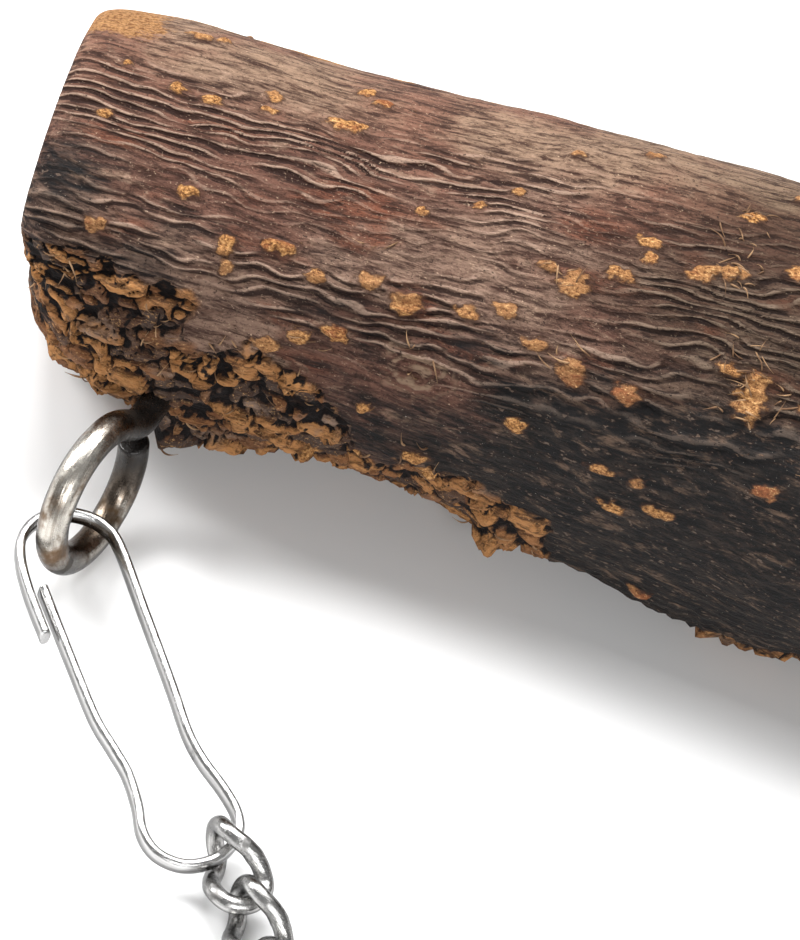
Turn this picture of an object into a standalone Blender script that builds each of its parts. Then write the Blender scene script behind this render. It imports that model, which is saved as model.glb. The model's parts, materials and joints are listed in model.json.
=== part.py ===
"""A hanging perch: a natural branch, two screw eyes, and a chain with a wire snap clip at each end of it.

The perch lies on a flat surface at z = 0. The branch runs along X, and the chains lie in front of it, at -Y.
"""
import math

import bmesh
import bpy
from mathutils import Matrix, Vector

MM = 0.001

# branch; it is thicker towards the right end, and its underside is worn flat where it lies
BRANCH_LENGTH = 250 * MM
THIN_RADIUS = 27.8 * MM
THICK_RADIUS = 35.0 * MM
THICKENING_START = 38 * MM
THICKENING_LENGTH = 132 * MM
BRANCH_Y = 99.5 * MM
UNDERSIDE_WEAR = 1.5 * MM
BRANCH_SIDES = 44
BRANCH_STATIONS = 26

# the decayed corner of the left end: how far it is eaten back along the branch, and down its end face
DECAY_ANGLE = math.radians(222)
DECAY_CUTS = [(17 * MM, 27.0 * MM, 13.0 * MM), (5.5 * MM, 20.5 * MM, 9.0 * MM)]

# screw eyes, mirrored about x = 0
EYE_WIRE = 2.25 * MM
EYE_RING = 10.3 * MM
EYE_INSET = 19.8 * MM
EYE_STAND_OFF = 15.2 * MM
EYE_LEAN = math.radians(15)
EYE_ROLL = math.radians(7.0)
SHANK_LENGTH = 38 * MM
SHANK_HOLE = 2.6 * MM
HOLE_MOUTH = 11.5 * MM

# snap clips, bent from flat wire; the outline runs from the hook's cut end round to the gate's tip, in mm
CLIP_HALF_WIDTH = 0.7 * MM
CLIP_HALF_DEPTH = 1.4 * MM
CLIP_HEADING = math.radians(-53.2)
CLIP_HOOK = -2.3 * MM
CLIP_BOW = 53.6 * MM
CLIP_KNOTS = [
    (15.6, -8.6), (8.4, -8.5), (3.4, -7.9), (0.0, -6.5), (-2.0, -3.8), (-2.5, -0.5), (-1.3, 2.9), (1.1, 5.3),
    (4.7, 6.3), (14.8, 6.0), (27.2, 5.6), (34.6, 5.2), (39.2, 5.7), (43.8, 6.9), (47.9, 7.4), (51.1, 6.3),
    (53.1, 3.2), (53.6, 0.0), (52.8, -3.0), (50.4, -5.4), (47.1, -6.1), (43.0, -5.3), (38.3, -5.0),
    (34.2, -5.6), (29.1, -6.4), (20.0, -6.5), (8.5, -6.45),
]

# chain; each link's two bows stand a quarter turn apart, and the chain turns slowly along its length
LINK_WIRE = 1.25 * MM
LINK_LENGTH = 12.5 * MM
LINK_BOW = 3.5 * MM
LINK_PITCH = 9.7 * MM
LINK_TWIST = math.radians(-45)
LINK_COUNT = 10
FIRST_REACH = 2.6 * MM
LAST_REACH = 3.0 * MM
CHAIN_HEIGHT = 4.8 * MM
CHAIN_HEADING = math.radians(-55)
CHAIN_TURN = math.radians(-5)
FIRST_ROLL = math.radians(45)
ROLL_STEP = math.radians(-10)

BARK = (0.16, 0.10, 0.075)
STEEL = (0.62, 0.61, 0.60)
WORN_STEEL = (0.45, 0.42, 0.38)


def clear_scene():
    for obj in list(bpy.data.objects):
        bpy.data.objects.remove(obj)


def make_collection(name):
    collection = bpy.data.collections.new(name)
    bpy.context.scene.collection.children.link(collection)
    return collection


def make_material(name, colour, roughness, metallic):
    material = bpy.data.materials.new(name)
    material.use_nodes = True
    shader = material.node_tree.nodes["Principled BSDF"]
    shader.inputs["Base Color"].default_value = (*colour, 1.0)
    shader.inputs["Roughness"].default_value = roughness
    shader.inputs["Metallic"].default_value = metallic
    return material


def add_object(name, data, collection, material=None, place=None):
    obj = bpy.data.objects.new(name, data)
    collection.objects.link(obj)
    if material is not None:
        data.materials.append(material)
    if place is not None:
        obj.matrix_world = place
    return obj


def frame_of(origin, along, up):
    """A placing whose X runs along, whose Z is as near to up as it can be, and whose origin is given."""
    x_axis = Vector(along).normalized()
    y_axis = Vector(up).cross(x_axis).normalized()
    z_axis = x_axis.cross(y_axis)
    turn = Matrix((x_axis, y_axis, z_axis)).transposed().to_4x4()
    return Matrix.Translation(origin) @ turn


def smooth_path(knots, steps):
    """A path through the knots, rounded between them."""
    path = []
    points = [Vector(knot).to_3d() for knot in knots]
    for index in range(len(points) - 1):
        before = points[max(index - 1, 0)]
        start = points[index]
        end = points[index + 1]
        after = points[min(index + 2, len(points) - 1)]
        for step in range(steps):
            t = step / steps
            path.append(0.5 * (2 * start + (end - before) * t
                               + (2 * before - 5 * start + 4 * end - after) * t * t
                               + (3 * start - before - 3 * end + after) * t ** 3))
    path.append(points[-1])
    return path


def wire(name, path, radius, flat=0.0, closed=False):
    """A bent wire as a curve with a round section, or a section stretched by flat each way along Z."""
    curve = bpy.data.curves.new(name, "CURVE")
    curve.dimensions = "3D"
    curve.fill_mode = "FULL"
    curve.bevel_depth = radius
    curve.bevel_resolution = 2
    curve.use_fill_caps = not closed
    if flat > 0:
        curve.extrude = flat
        curve.twist_mode = "Z_UP"
    spline = curve.splines.new("POLY")
    spline.points.add(len(path) - 1)
    for point, position in zip(spline.points, path):
        point.co = (*position, 1.0)
    spline.use_cyclic_u = closed
    return curve


# ---- branch ----

def mean_radius(x):
    """The branch's mean radius, which grows smoothly from the thin end to the thick end."""
    share = (x + BRANCH_LENGTH / 2 - THICKENING_START) / THICKENING_LENGTH
    share = max(0.0, min(1.0, share))
    return THIN_RADIUS + (THICK_RADIUS - THIN_RADIUS) * share * share * (3 - 2 * share)


def axis_height(x):
    return mean_radius(x) - UNDERSIDE_WEAR


def bark_point(x, angle):
    """A point on the bark; angle 0 is the back, a quarter turn is the top."""
    along = x / BRANCH_LENGTH + 0.5
    lobes = 0.016 * math.cos(3 * angle - 0.95 + 1.5 * along) + 0.010 * math.cos(5 * angle + 1.9 - 2.2 * along)
    swell = 0.010 * math.sin(9.0 * along + 1.2 * math.cos(angle))
    bulge = 0.115 * math.exp(-((along - 0.53) / 0.14) ** 2) - 0.035 * math.exp(-((along - 0.24) / 0.088) ** 2)
    radius = mean_radius(x) * (1 + lobes + swell + bulge * math.cos(angle - math.radians(220)))
    z = axis_height(x) + radius * math.sin(angle)
    return Vector((x, BRANCH_Y + radius * math.cos(angle), max(z, 0)))


def branch_mesh():
    form = bmesh.new()
    bmesh.ops.create_cone(form, cap_ends=True, segments=BRANCH_SIDES, radius1=1, radius2=1, depth=1)
    lengthwise = [edge for edge in form.edges if abs(edge.verts[0].co.z - edge.verts[1].co.z) > 0.5]
    bmesh.ops.subdivide_edges(form, edges=lengthwise, cuts=BRANCH_STATIONS, use_grid_fill=True)
    for vert in form.verts:
        angle = math.atan2(vert.co.y, vert.co.x)
        vert.co = bark_point(vert.co.z * BRANCH_LENGTH, angle)
    bmesh.ops.recalc_face_normals(form, faces=form.faces)
    mesh = bpy.data.meshes.new("branch")
    form.to_mesh(mesh)
    form.free()
    return mesh


def subtract(obj, cutter):
    cut = obj.modifiers.new("cut_" + cutter.name, "BOOLEAN")
    cut.operation = "DIFFERENCE"
    cut.solver = "EXACT"
    cut.object = cutter


def cutter_object(name, mesh, collection, place):
    cutter = add_object(name, mesh, collection, place=place)
    cutter.hide_render = True
    cutter.display_type = "WIRE"
    return cutter


def drill_mesh(name, radius, length):
    """A drill along its own X, reaching back from its origin."""
    form = bmesh.new()
    bmesh.ops.create_cone(form, cap_ends=True, segments=16, radius1=radius, radius2=radius, depth=length)
    bmesh.ops.rotate(form, verts=form.verts, matrix=Matrix.Rotation(math.pi / 2, 3, "Y"))
    bmesh.ops.translate(form, verts=form.verts, vec=(-length / 2, 0, 0))
    mesh = bpy.data.meshes.new(name)
    form.to_mesh(mesh)
    form.free()
    return mesh


def block_mesh(name, size):
    form = bmesh.new()
    bmesh.ops.create_cube(form, size=1)
    bmesh.ops.scale(form, verts=form.verts, vec=size)
    mesh = bpy.data.meshes.new(name)
    form.to_mesh(mesh)
    form.free()
    return mesh


# ---- screw eyes ----

def eye_place(side):
    """The eye's placing: X points out of the wood, and the ring lies in its X-Z plane, just off the surface."""
    x = side * (BRANCH_LENGTH / 2 - EYE_INSET)
    reach = mean_radius(x) + EYE_STAND_OFF
    drop = axis_height(x) - EYE_RING - EYE_WIRE - 0.4 * MM
    forward = math.sqrt(reach ** 2 - drop ** 2)
    centre = Vector((x, BRANCH_Y - forward, axis_height(x) - drop))
    out = Vector((side * math.tan(EYE_LEAN), -forward / reach, -drop / reach))
    up = Vector((side * math.sin(EYE_ROLL), 0, math.cos(EYE_ROLL)))
    return frame_of(centre, out, up)


def eye_path():
    """The shank, a bend to one side of it, and the ring back to just beside the shank."""
    start = Vector((-SHANK_LENGTH, 0, 0))
    bend = Vector((-EYE_RING - 4.5 * MM, 0, 0))
    first = math.radians(40)
    last = math.radians(360 - 11)
    on_ring = Vector((-EYE_RING * math.cos(first), 0, EYE_RING * math.sin(first)))
    leave = bend + Vector((4.0 * MM, 0, 0))
    meet = on_ring - Vector((math.sin(first), 0, math.cos(first))) * 4.0 * MM
    path = [start, start + (bend - start) * 0.5]
    for step in range(6):
        t = step / 6
        path.append(bend * (1 - t) ** 3 + leave * 3 * t * (1 - t) ** 2
                    + meet * 3 * t * t * (1 - t) + on_ring * t ** 3)
    steps = 32
    for step in range(steps + 1):
        angle = first + (last - first) * step / steps
        path.append(Vector((-EYE_RING * math.cos(angle), 0, EYE_RING * math.sin(angle))))
    return path


# ---- snap clips ----

def clip_wire(name, side, pivot):
    """The clip, its length along X and its pivot at the origin; side 1 turns it over."""
    knots = [Vector((a * MM - pivot, -side * b * MM, 0)) for a, b in CLIP_KNOTS]
    return wire(name, smooth_path(knots, 2), CLIP_HALF_WIDTH, flat=CLIP_HALF_DEPTH - CLIP_HALF_WIDTH)


# ---- chain ----

def link_path(pivot):
    """A link along X from its pivot; its bows turn half the twist each way, and its sides twist between."""
    straight = LINK_LENGTH / 2 - LINK_BOW
    path = []
    for end in (1, -1):
        for step in range(8):
            angle = -math.pi / 2 + math.pi * step / 7
            a = end * (straight + LINK_BOW * math.cos(angle))
            b = end * LINK_BOW * math.sin(angle)
            path.append(Vector((a, b, 0)))
        for share in (0.5, 0, -0.5):
            path.append(Vector((end * share * straight, end * LINK_BOW, 0)))
    twisted = []
    for point in path:
        share = max(-1.0, min(1.0, point.x / (straight + LINK_BOW / 2)))
        turn = LINK_TWIST * math.sin(share * math.pi / 2)
        twisted.append(Matrix.Rotation(turn, 3, "X") @ point + Vector((pivot, 0, 0)))
    return twisted


def heading_vector(side, heading):
    """A direction on the surface, for the chain on that side."""
    return Vector((-side * math.cos(heading), math.sin(heading), 0))


def link_place(pivot, direction, roll):
    return frame_of(pivot, direction, (0, 0, 1)) @ Matrix.Rotation(roll, 4, "X")


def decay_cutter(number, back, out, down, collection):
    """A block whose near face slants across the corner, from the end face to the bark."""
    block = block_mesh("decay_%d" % number, (80 * MM, 90 * MM, 40 * MM))
    radial = Vector((0, math.cos(DECAY_ANGLE), math.sin(DECAY_ANGLE)))
    end = Vector((-BRANCH_LENGTH / 2, BRANCH_Y, axis_height(-BRANCH_LENGTH / 2)))
    on_face = end + radial * down
    on_bark = end + radial * out + Vector((back, 0, 0))
    slant = on_bark - on_face
    outward = Vector((0, -radial.z, radial.y)).cross(slant).normalized()
    if outward.dot(radial) < 0:
        outward = -outward
    place = frame_of((on_face + on_bark) / 2 + outward * 20 * MM, slant, outward)
    return cutter_object("decay_%d" % number, block, collection, place)


def build_branch(perch, cutters):
    branch = add_object("branch", branch_mesh(), perch, make_material("bark", BARK, 0.85, 0.0))
    for number, (back, out, down) in enumerate(DECAY_CUTS, 1):
        subtract(branch, decay_cutter(number, back, out, down, cutters))
    for side, label in ((-1, "left"), (1, "right")):
        mouth = eye_place(side) @ Matrix.Translation((-HOLE_MOUTH, 0, 0))
        drill = drill_mesh(label + "_drill", SHANK_HOLE, SHANK_LENGTH - HOLE_MOUTH + 0.4 * MM)
        subtract(branch, cutter_object(label + "_drill", drill, cutters, mouth))


def build_side(side, label, perch):
    """One screw eye, its clip, its chain, and the clip that hangs the chain up."""
    eye = eye_place(side)
    add_object(label + "_screw_eye", wire(label + "_screw_eye", eye_path(), EYE_WIRE), perch,
               make_material(label + "_eye_steel", WORN_STEEL, 0.34, 1.0), eye)

    # the clip hangs in the eye, and its far bow lies at the height of the chain
    hook = eye.translation + Vector((side * 3.4 * MM, -4.1 * MM, -1.8 * MM))
    rise = (hook.z - CHAIN_HEIGHT + 0.3 * MM) / (CLIP_BOW - CLIP_HOOK)
    along = heading_vector(side, CLIP_HEADING) * math.sqrt(1 - rise ** 2) - Vector((0, 0, rise))
    clip_place = frame_of(hook, along, (0, 0, 1))
    add_object(label + "_eye_clip", clip_wire(label + "_eye_clip", side, CLIP_HOOK), perch,
               make_material(label + "_eye_clip_steel", STEEL, 0.18, 1.0), clip_place)

    # the chain starts round the clip's bow, and turns away until its end heads outwards
    start = clip_place @ Vector((CLIP_BOW - CLIP_HOOK - 1.0 * MM, -side * 3.9 * MM, 0))
    joint = Vector((start.x, start.y, CHAIN_HEIGHT))
    heading = CHAIN_HEADING
    roll = FIRST_ROLL
    reach = FIRST_REACH
    for number in range(1, LINK_COUNT + 1):
        name = "%s_link_%02d" % (label, number)
        direction = heading_vector(side, heading)
        add_object(name, wire(name, link_path(reach), LINK_WIRE, closed=True), perch,
                   make_material(name + "_steel", STEEL, 0.24, 1.0), link_place(joint, direction, roll))
        joint = joint + direction * (reach + LINK_PITCH / 2)
        heading += CHAIN_TURN
        roll += ROLL_STEP
        reach = LINK_PITCH / 2

    # the last clip lies beyond the chain's end, its bow in the last link
    bow = joint - direction * (LINK_PITCH / 2 - LAST_REACH)
    lie = math.asin((CHAIN_HEIGHT - CLIP_HALF_DEPTH - 0.3 * MM) / CLIP_BOW)
    back = -direction * math.cos(lie) + Vector((0, 0, math.sin(lie)))
    add_object(label + "_cage_clip", clip_wire(label + "_cage_clip", -side, CLIP_BOW), perch,
               make_material(label + "_cage_clip_steel", STEEL, 0.18, 1.0), frame_of(bow, back, (0, 0, 1)))


def build():
    clear_scene()
    perch = make_collection("hanging_perch")
    cutters = make_collection("cutters")
    build_branch(perch, cutters)
    for side, label in ((-1, "left"), (1, "right")):
        build_side(side, label, perch)


build()
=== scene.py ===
import json
import math
import random

import bmesh
import bpy
from mathutils import Matrix, Vector, noise


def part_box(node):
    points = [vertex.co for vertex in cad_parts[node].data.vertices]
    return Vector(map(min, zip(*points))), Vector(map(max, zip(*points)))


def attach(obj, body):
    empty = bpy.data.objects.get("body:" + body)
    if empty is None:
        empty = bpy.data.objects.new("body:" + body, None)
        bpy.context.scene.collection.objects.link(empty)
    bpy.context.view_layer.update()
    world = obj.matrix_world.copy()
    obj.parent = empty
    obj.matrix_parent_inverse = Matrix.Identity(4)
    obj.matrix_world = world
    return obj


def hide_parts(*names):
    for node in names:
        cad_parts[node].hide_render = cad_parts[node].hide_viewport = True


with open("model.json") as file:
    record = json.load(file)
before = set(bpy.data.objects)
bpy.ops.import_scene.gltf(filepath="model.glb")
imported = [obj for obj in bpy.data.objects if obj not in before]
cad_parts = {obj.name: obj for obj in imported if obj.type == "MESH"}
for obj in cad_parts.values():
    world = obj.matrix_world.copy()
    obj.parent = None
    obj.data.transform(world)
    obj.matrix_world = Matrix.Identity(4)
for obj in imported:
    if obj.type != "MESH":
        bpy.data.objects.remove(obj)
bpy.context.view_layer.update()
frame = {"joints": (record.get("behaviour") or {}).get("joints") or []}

# ======================================================================================================
# THE BRANCH
# A cut length of a natural branch, dried with its bark on and sawn square at both ends. The bark has
# shrunk into long wrinkles, corky pores stand out of it, and one corner of the thin end has rotted.
# ======================================================================================================

MM = 0.001

branch_low, branch_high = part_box("branch")
BRANCH_LENGTH = branch_high.x - branch_low.x
BRANCH_START = branch_low.x
THIN_RADIUS = 27.8 * MM
THICK_RADIUS = 35.0 * MM
THICKENING_START = 38 * MM
THICKENING_LENGTH = 132 * MM
UNDERSIDE_WEAR = 1.5 * MM
BRANCH_Y = 99.5 * MM
SIDES_ROUND = 288
ROWS_ALONG = 318
FINE_SIDE = math.radians(135)
WRINKLES_ROUND = 106

# corky pores that stand alone: distance from the thin end in mm, degrees round from the back over the top,
# length and width in mm
BIG_PORES = [
    (15, 64, 2.2, 1.3), (15, 92, 1.9, 1.2), (20, 93, 1.9, 1.3), (28, 84, 1.4, 1.7),
    (40, 69, 1.8, 1.4), (39, 87, 3.2, 1.5), (28, 134, 1.3, 1.6), (34, 131, 1.5, 1.3),
    (29, 140, 1.4, 1.5), (48, 132, 2.2, 1.5), (54, 135, 2.6, 2.2), (41, 135, 1.6, 1.2),
    (71, 116, 2.0, 1.1), (75, 119, 2.7, 2.4), (83, 102, 2.3, 1.4), (72, 137, 2.3, 1.3),
    (78, 141, 2.9, 2.3), (86, 143, 2.4, 1.8), (73, 161, 1.9, 1.4), (102, 136, 2.8, 4.0),
    (37, 159, 2.3, 1.7), (41, 153, 2.2, 1.5), (46, 149, 2.3, 1.5), (62, 133, 2.1, 1.2),
    (67, 130, 2.4, 1.2), (86, 166, 2.2, 1.0), (91, 167, 1.8, 1.1), (95, 174, 2.6, 1.2),
    (96, 85, 2.2, 1.5), (95, 106, 2.6, 1.8), (91, 108, 2.7, 1.9), (104, 101, 2.2, 1.6),
    (10, 139, 1.8, 1.6), (89, 177, 2.6, 1.2), (61, 183, 2.6, 1.3), (98, 131, 1.6, 1.2),
    (52, 110, 1.3, 0.9), (64, 96, 1.2, 0.9), (112, 118, 2.6, 1.6), (108, 158, 2.2, 1.5),
]

KNOT_SCAR = (58, 153, 4.2, 3.6)

# lumps and dents in the wood under the bark: the same four values, and how far it stands out in mm
LUMPS = [
    (26, 220, 2.6, 2.6, 2.9), (74.5, 216, 3.2, 5.0, 3.6), (82, 213, 6.0, 4.5, 1.4),
    (50, 222, 11.0, 9.0, -1.3), (29, 224, 5.0, 7.0, 2.4), (88, 222, 13.0, 8.0, 0.9),
    (106, 222, 14.0, 9.0, 2.3), (34, 226, 12.0, 8.0, 0.9), (58, 154, 3.4, 3.0, 0.9),
    (58, 154, 1.5, 1.3, -1.3), (43, 181, 4.8, 3.4, 1.2), (62, 186, 6.5, 2.6, 1.0),
    (20, 176, 4.0, 3.0, 1.2), (31, 183, 4.0, 3.4, 1.5), (24, 195, 4.4, 2.6, 1.1),
    (12, 160, 3.0, 3.0, 0.8), (80, 72, 16.0, 14.0, 0.9), (118, 150, 9.0, 7.0, 1.1),
    (165, 110, 9.0, 8.0, 1.6), (165, 110, 3.6, 3.0, -2.2), (205, 40, 12.0, 9.0, 1.3),
    (150, 310, 11.0, 8.0, 1.2), (215, 185, 8.0, 7.0, 1.5), (190, 330, 8.0, 8.0, -1.2),
]


def smooth(start, end, value):
    """0 before start and 1 after end, with an easy rise between."""
    share = min(max((value - start) / (end - start), 0.0), 1.0)
    return share * share * (3 - 2 * share)


def mean_radius(x):
    """The branch's mean radius at a distance x from its thin end."""
    return THIN_RADIUS + (THICK_RADIUS - THIN_RADIUS) * smooth(0, THICKENING_LENGTH, x - THICKENING_START)


def wood_radius(x, turn):
    """The radius of the wood, with its slow lobes and swellings, before the bark's own relief."""
    along = x / BRANCH_LENGTH
    lobes = 0.016 * math.cos(3 * turn - 0.95 + 1.5 * along) + 0.010 * math.cos(5 * turn + 1.9 - 2.2 * along)
    swell = 0.010 * math.sin(9.0 * along + 1.2 * math.cos(turn))
    bulge = (0.115 * math.exp(-((along - 0.53) / 0.14) ** 2)
             - 0.035 * math.exp(-((along - 0.24) / 0.088) ** 2))
    return mean_radius(x) * (1 + lobes + swell + bulge * math.cos(turn - math.radians(220)))


def turn_between(first, second):
    return abs((first - second + math.pi) % (2 * math.pi) - math.pi)


def spot(x, turn, place):
    """How near a point of the bark is to a spot: 0 at its middle, 1 at its edge."""
    away = (x / MM - place[0]) / place[2]
    if abs(away) > 2.2:
        return 9.0
    round_mm = turn_between(turn, math.radians(place[1])) * mean_radius(x) / MM
    return math.hypot(away, round_mm / place[3])


def rot(x, turn):
    """Where the bark has rotted and crumbled: the corner of the thin end, and patches low down."""
    degrees = math.degrees(turn) % 360
    corner = smooth(132, 168, degrees) * (1 - smooth(250, 300, degrees))
    corner *= 1 - smooth(14 * MM, 34 * MM, x - max(0, degrees - 165) * 0.35 * MM)
    low_start = 152 + 26 * smooth(36 * MM, 60 * MM, x)
    low_side = smooth(low_start, low_start + 22, degrees) * (1 - smooth(235, 280, degrees))
    low_side *= 1 - smooth(70 * MM, 88 * MM, x)
    thick_end = smooth(205, 225, degrees) * (1 - smooth(255, 290, degrees)) * smooth(95 * MM, 112 * MM, x)
    thick_end *= 1 - smooth(150 * MM, 170 * MM, x)
    return max(corner, 0.85 * low_side, 0.75 * thick_end)


def corner_loss(x, turn):
    """How deep the rotted corner is eaten into the wood."""
    degrees = math.degrees(turn) % 360
    share = smooth(136, 188, degrees) * (1 - smooth(252, 300, degrees))
    return share * 19.5 * MM * math.exp(-((x / (4.6 * MM)) ** 0.75))


def wood_axis(x):
    return Vector((BRANCH_START + x, BRANCH_Y, mean_radius(x) - UNDERSIDE_WEAR))


def random_pores(count, seed):
    """Small pores all over the bark, thicker on the back and towards the thick end."""
    dice = random.Random(seed)
    pores = []
    for _ in range(count):
        size = dice.uniform(0.6, 1.5)
        pores.append((dice.uniform(4, 246), dice.uniform(0, 360), size * dice.uniform(1.1, 1.9), size))
    for _ in range(count // 5):
        x = dice.uniform(118, 244)
        pores.append((x, dice.uniform(0, 360), dice.uniform(1.8, 3.0), dice.uniform(1.2, 2.0)))
    for _ in range(count // 6):
        pores.append((dice.uniform(8, 120), dice.uniform(235, 385) % 360,
                      dice.uniform(1.6, 2.8), dice.uniform(1.1, 1.8)))
    return pores


PORES = BIG_PORES + random_pores(150, 11)
PORE_ROWS = {}
for pore in PORES:
    for row in range(int(pore[0] - 5) // 4, int(pore[0] + 5) // 4 + 1):
        PORE_ROWS.setdefault(row, []).append(pore)


def bark_relief(x, turn):
    """The bark at one point: how far it stands out, and what shows there, each from 0 to 1."""
    radius = wood_radius(x, turn)
    p = Vector((x / MM, radius * math.cos(turn) / MM, radius * math.sin(turn) / MM))
    degrees = math.degrees(turn) % 360

    wander = 1.5 * noise.noise(Vector((p.x / 17, p.y / 8, p.z / 8)))
    wander += 0.80 * noise.noise(Vector((p.x / 6.0 + 30, p.y / 3.2, p.z / 3.2)))
    wander += 0.24 * noise.noise(Vector((p.x / 3.2, p.y / 1.8, p.z / 1.8 + 60)))
    phase = WRINKLES_ROUND * turn + 2 * math.pi * (wander + 0.018 * p.x)
    patch = 0.5 + 0.5 * noise.noise(Vector((p.x * 0.05 + 20, p.y * 0.09 + 3, p.z * 0.09 + 8)))
    broken = 0.5 + 0.5 * noise.noise(Vector((p.x / 9, p.y / 1.6 + 70, p.z / 1.6)))
    wrinkle = 0.16 + 0.84 * smooth(76, 100, degrees) * (1 - smooth(140, 170, degrees))
    wrinkle += 0.5 * smooth(190, 260, degrees) + 0.5 * (1 - smooth(8, 30, degrees))
    wrinkle *= (0.30 + 0.85 * smooth(0.28, 0.62, patch)) * (0.25 + 0.9 * smooth(0.30, 0.62, broken))
    height = (0.5 + 0.5 * math.cos(phase)) ** 1.6 * 0.46 * wrinkle - 0.15
    height += 0.45 * noise.noise(p * 0.10) + 0.10 * noise.noise(Vector((p.x * 0.4, p.y, p.z)))

    crumble = rot(x, turn)
    ragged = 0.55 * noise.noise(p * 0.13 + Vector((7, 7, 7))) + 0.2 * noise.noise(p * 0.5)
    ragged = crumble + ragged * smooth(0.0, 0.2, crumble)
    crumble = smooth(0.40, 0.54, ragged)
    crack = 0.0
    flake = 0.0
    if crumble > 0:
        bent = Vector((noise.noise(p * 0.3), noise.noise(p * 0.3 + Vector((9, 0, 0))),
                       noise.noise(p * 0.3 + Vector((0, 9, 0)))))
        distances, points = noise.voronoi(Vector((p.x / 6.4, p.y / 3.7, p.z / 3.7)) + 0.6 * bent)
        gap = distances[1] - distances[0]
        crack = 1 - smooth(0.03, 0.17, gap)
        flake = 0.5 + 0.5 * noise.noise(points[0] * 5.3)
        flake = smooth(0.25, 0.75, flake)
        layers = (2.2 * noise.noise(p * 0.17 + Vector((4, 4, 4))) + 0.12 * p.z
                  + 0.3 * noise.noise(p * 0.8) + 8)
        leaf = layers - math.floor(layers)
        crack = max(crack, 0.8 * smooth(0.78, 0.92, leaf) * (1 - smooth(0.95, 1.0, leaf)))
        chunk = smooth(0.0, 0.42, gap) * (0.5 + 1.7 * (flake - 0.4)) - 0.9 * crack
        chunk += 0.45 * (leaf - 0.5) + 0.35 * noise.noise(p * 0.7)
        height = height * (1 - crumble) + crumble * (chunk - 0.35)
    rim = smooth(0.0, 0.3, crumble) * (1 - smooth(0.5, 1.0, crumble))
    crack = max(crack * crumble, rim * smooth(-0.25, 0.2, noise.noise(p * 0.3)))
    height -= 0.5 * rim * crack

    for place in LUMPS:
        near = spot(x, turn, place)
        if near < 2.2:
            height += place[4] * math.exp(-(near ** 2) * 1.4) * (1 + 0.35 * noise.noise(p * 0.55))

    knot = 0.0
    near = spot(x, turn, KNOT_SCAR) + 0.5 * noise.noise(p * 0.5)
    if near < 1.7:
        knot = (0.5 + 0.5 * math.cos(near * 10)) * (1 - smooth(0.9, 1.6, near))
        height += 0.45 * knot
    pore = 0.0
    for place in PORE_ROWS.get(int(x / MM) // 4, ()):
        near = spot(x, turn, place)
        if near < 2.0:
            near += 0.55 * noise.noise(p * 0.85 + Vector((place[0], 0, 0)))
            pore = max(pore, 1 - smooth(0.35, 1.1, near))
            height += 0.75 * (1 - smooth(0.1, 1.25, near)) - 0.3 * (1 - smooth(0.0, 0.4, near))
            wrinkle *= smooth(0.7, 1.6, near)

    soot_line = 158 - 20 * smooth(45 * MM, 100 * MM, x) + 10 * noise.noise(p * 0.06 + Vector((2, 2, 2)))
    soot_and_shade = smooth(soot_line - 13, soot_line + 13, degrees) * (1 - smooth(205, 250, degrees))
    soot_and_shade *= 0.55 + 0.45 * smooth(45 * MM, 80 * MM, x)
    old_stain = math.exp(-((x / MM - 5) / 8) ** 2 - ((degrees - 128) / 13) ** 2)
    low_stain = math.exp(-((x / MM - 17) / 9) ** 2 - ((degrees - 146) / 7) ** 2)
    back_stain = (0.8 * smooth(0.12, 0.42, noise.noise(p * 0.05 + Vector((50, 0, 4))))
                  * smooth(255, 290, degrees))
    # painted shade: a band of charcoal colour down the front towards the underside, folded into the soot
    # mark with the real soot and stains
    shadow = 0.42 * smooth(112, 142, degrees) * (1 - smooth(220, 260, degrees))
    soot_and_shade = max(soot_and_shade, 0.85 * old_stain, 0.75 * low_stain, back_stain, shadow)

    edge = 44 + 9 * noise.noise(Vector((p.x / 30, 8, 1)))
    rubbed = math.exp(-((degrees - edge) / 4.5) ** 2) * (1 - 0.5 * smooth(66, 92, p.x))
    rubbed *= smooth(-0.25, 0.2, noise.noise(Vector((p.x / 9, p.y / 12, 1)))
                     + 0.5 * noise.noise(Vector((p.x / 31, 1, 4))))
    end_rub = ((1 - smooth(3 * MM, 15 * MM, x + 2 * MM * noise.noise(p * 0.3)))
               * (1 - smooth(62, 84, degrees)))
    rubbed = max(rubbed, end_rub * smooth(-15, 10, degrees - 20))
    rust = (smooth(0.0, 0.4, noise.noise(Vector((p.x / 10, p.y / 4, p.z / 4 + 33))))
            * smooth(85, 105, degrees))
    # darker bark from about 66 mm along and in patches towards the thick end, weaker over the back and top:
    # partly the bark's own tone and partly painted shade where the light falls off along the branch
    darkening_and_shade = (smooth(66, 108, x / MM + 16 * noise.noise(p * 0.05 + Vector((0, 30, 0))))
           * (1 - smooth(140, 185, x / MM)))
    darkening_and_shade = max(darkening_and_shade, 0.8 * smooth(0.1, 0.5, noise.noise(p * 0.03 + Vector((11, 0, 0))))
              * smooth(120, 150, x / MM))
    darkening_and_shade *= 0.55 + 0.45 * smooth(60, 95, degrees)
    # darker from the top round to the underside: partly the bark's own tone and partly painted shade
    underside_tone_and_shade = smooth(78, 104, degrees + 12 * noise.noise(p * 0.08)) * (1 - 0.5 * smooth(200, 240, degrees))
    return height * MM, {
        "wave_a": math.cos(phase), "wave_b": math.sin(phase), "wrinkle": wrinkle, "crumble": crumble,
        "crack": crack, "flake": flake, "pore": pore, "soot_and_shade": soot_and_shade, "rubbed": rubbed, "rust": rust,
        "underside_tone_and_shade": underside_tone_and_shade, "knot": knot, "darkening_and_shade": darkening_and_shade,
    }


def bark_row(step):
    """How far along the branch a row lies; the rows are closest at the thin end."""
    return BRANCH_LENGTH * (0.50 * step + 0.50 * step ** 2.4)


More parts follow.
